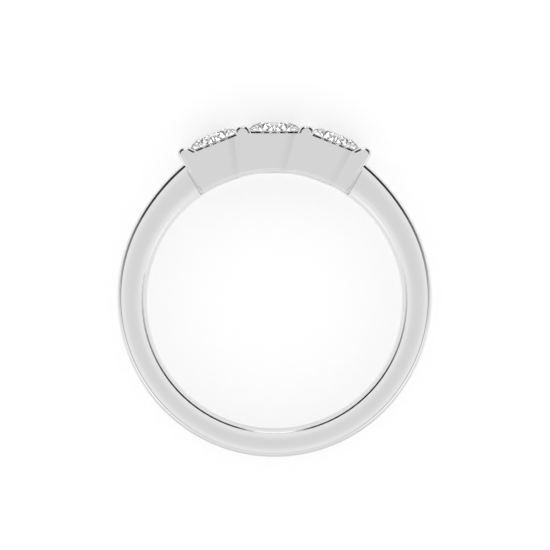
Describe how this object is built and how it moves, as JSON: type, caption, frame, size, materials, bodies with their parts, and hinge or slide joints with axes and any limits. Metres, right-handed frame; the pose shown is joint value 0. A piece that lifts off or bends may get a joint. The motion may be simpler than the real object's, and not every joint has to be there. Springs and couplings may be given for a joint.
{
  "type": "three stone ring",
  "caption": "Finger ring in white metal: a wide band with flat sides and a domed outside, and a head, flush with it, whose paired claws hold a row of round brilliant stones.",
  "frame": {"origin": "centre of the finger hole, midway across the ring's width", "axes": "+Z along the finger, +Y towards the middle stone, +X towards the right-hand stone"},
  "size_m": [0.0212, 0.0225, 0.004],
  "materials": {
    "white_metal": "mirror polish",
    "stone": "polished facets, clear and colourless"
  },
  "bodies": {
    "root": {"ring_mount": "white_metal", "centre_stone": "stone", "left_stone": "stone", "right_stone": "stone"}
  },
  "joints": []
}
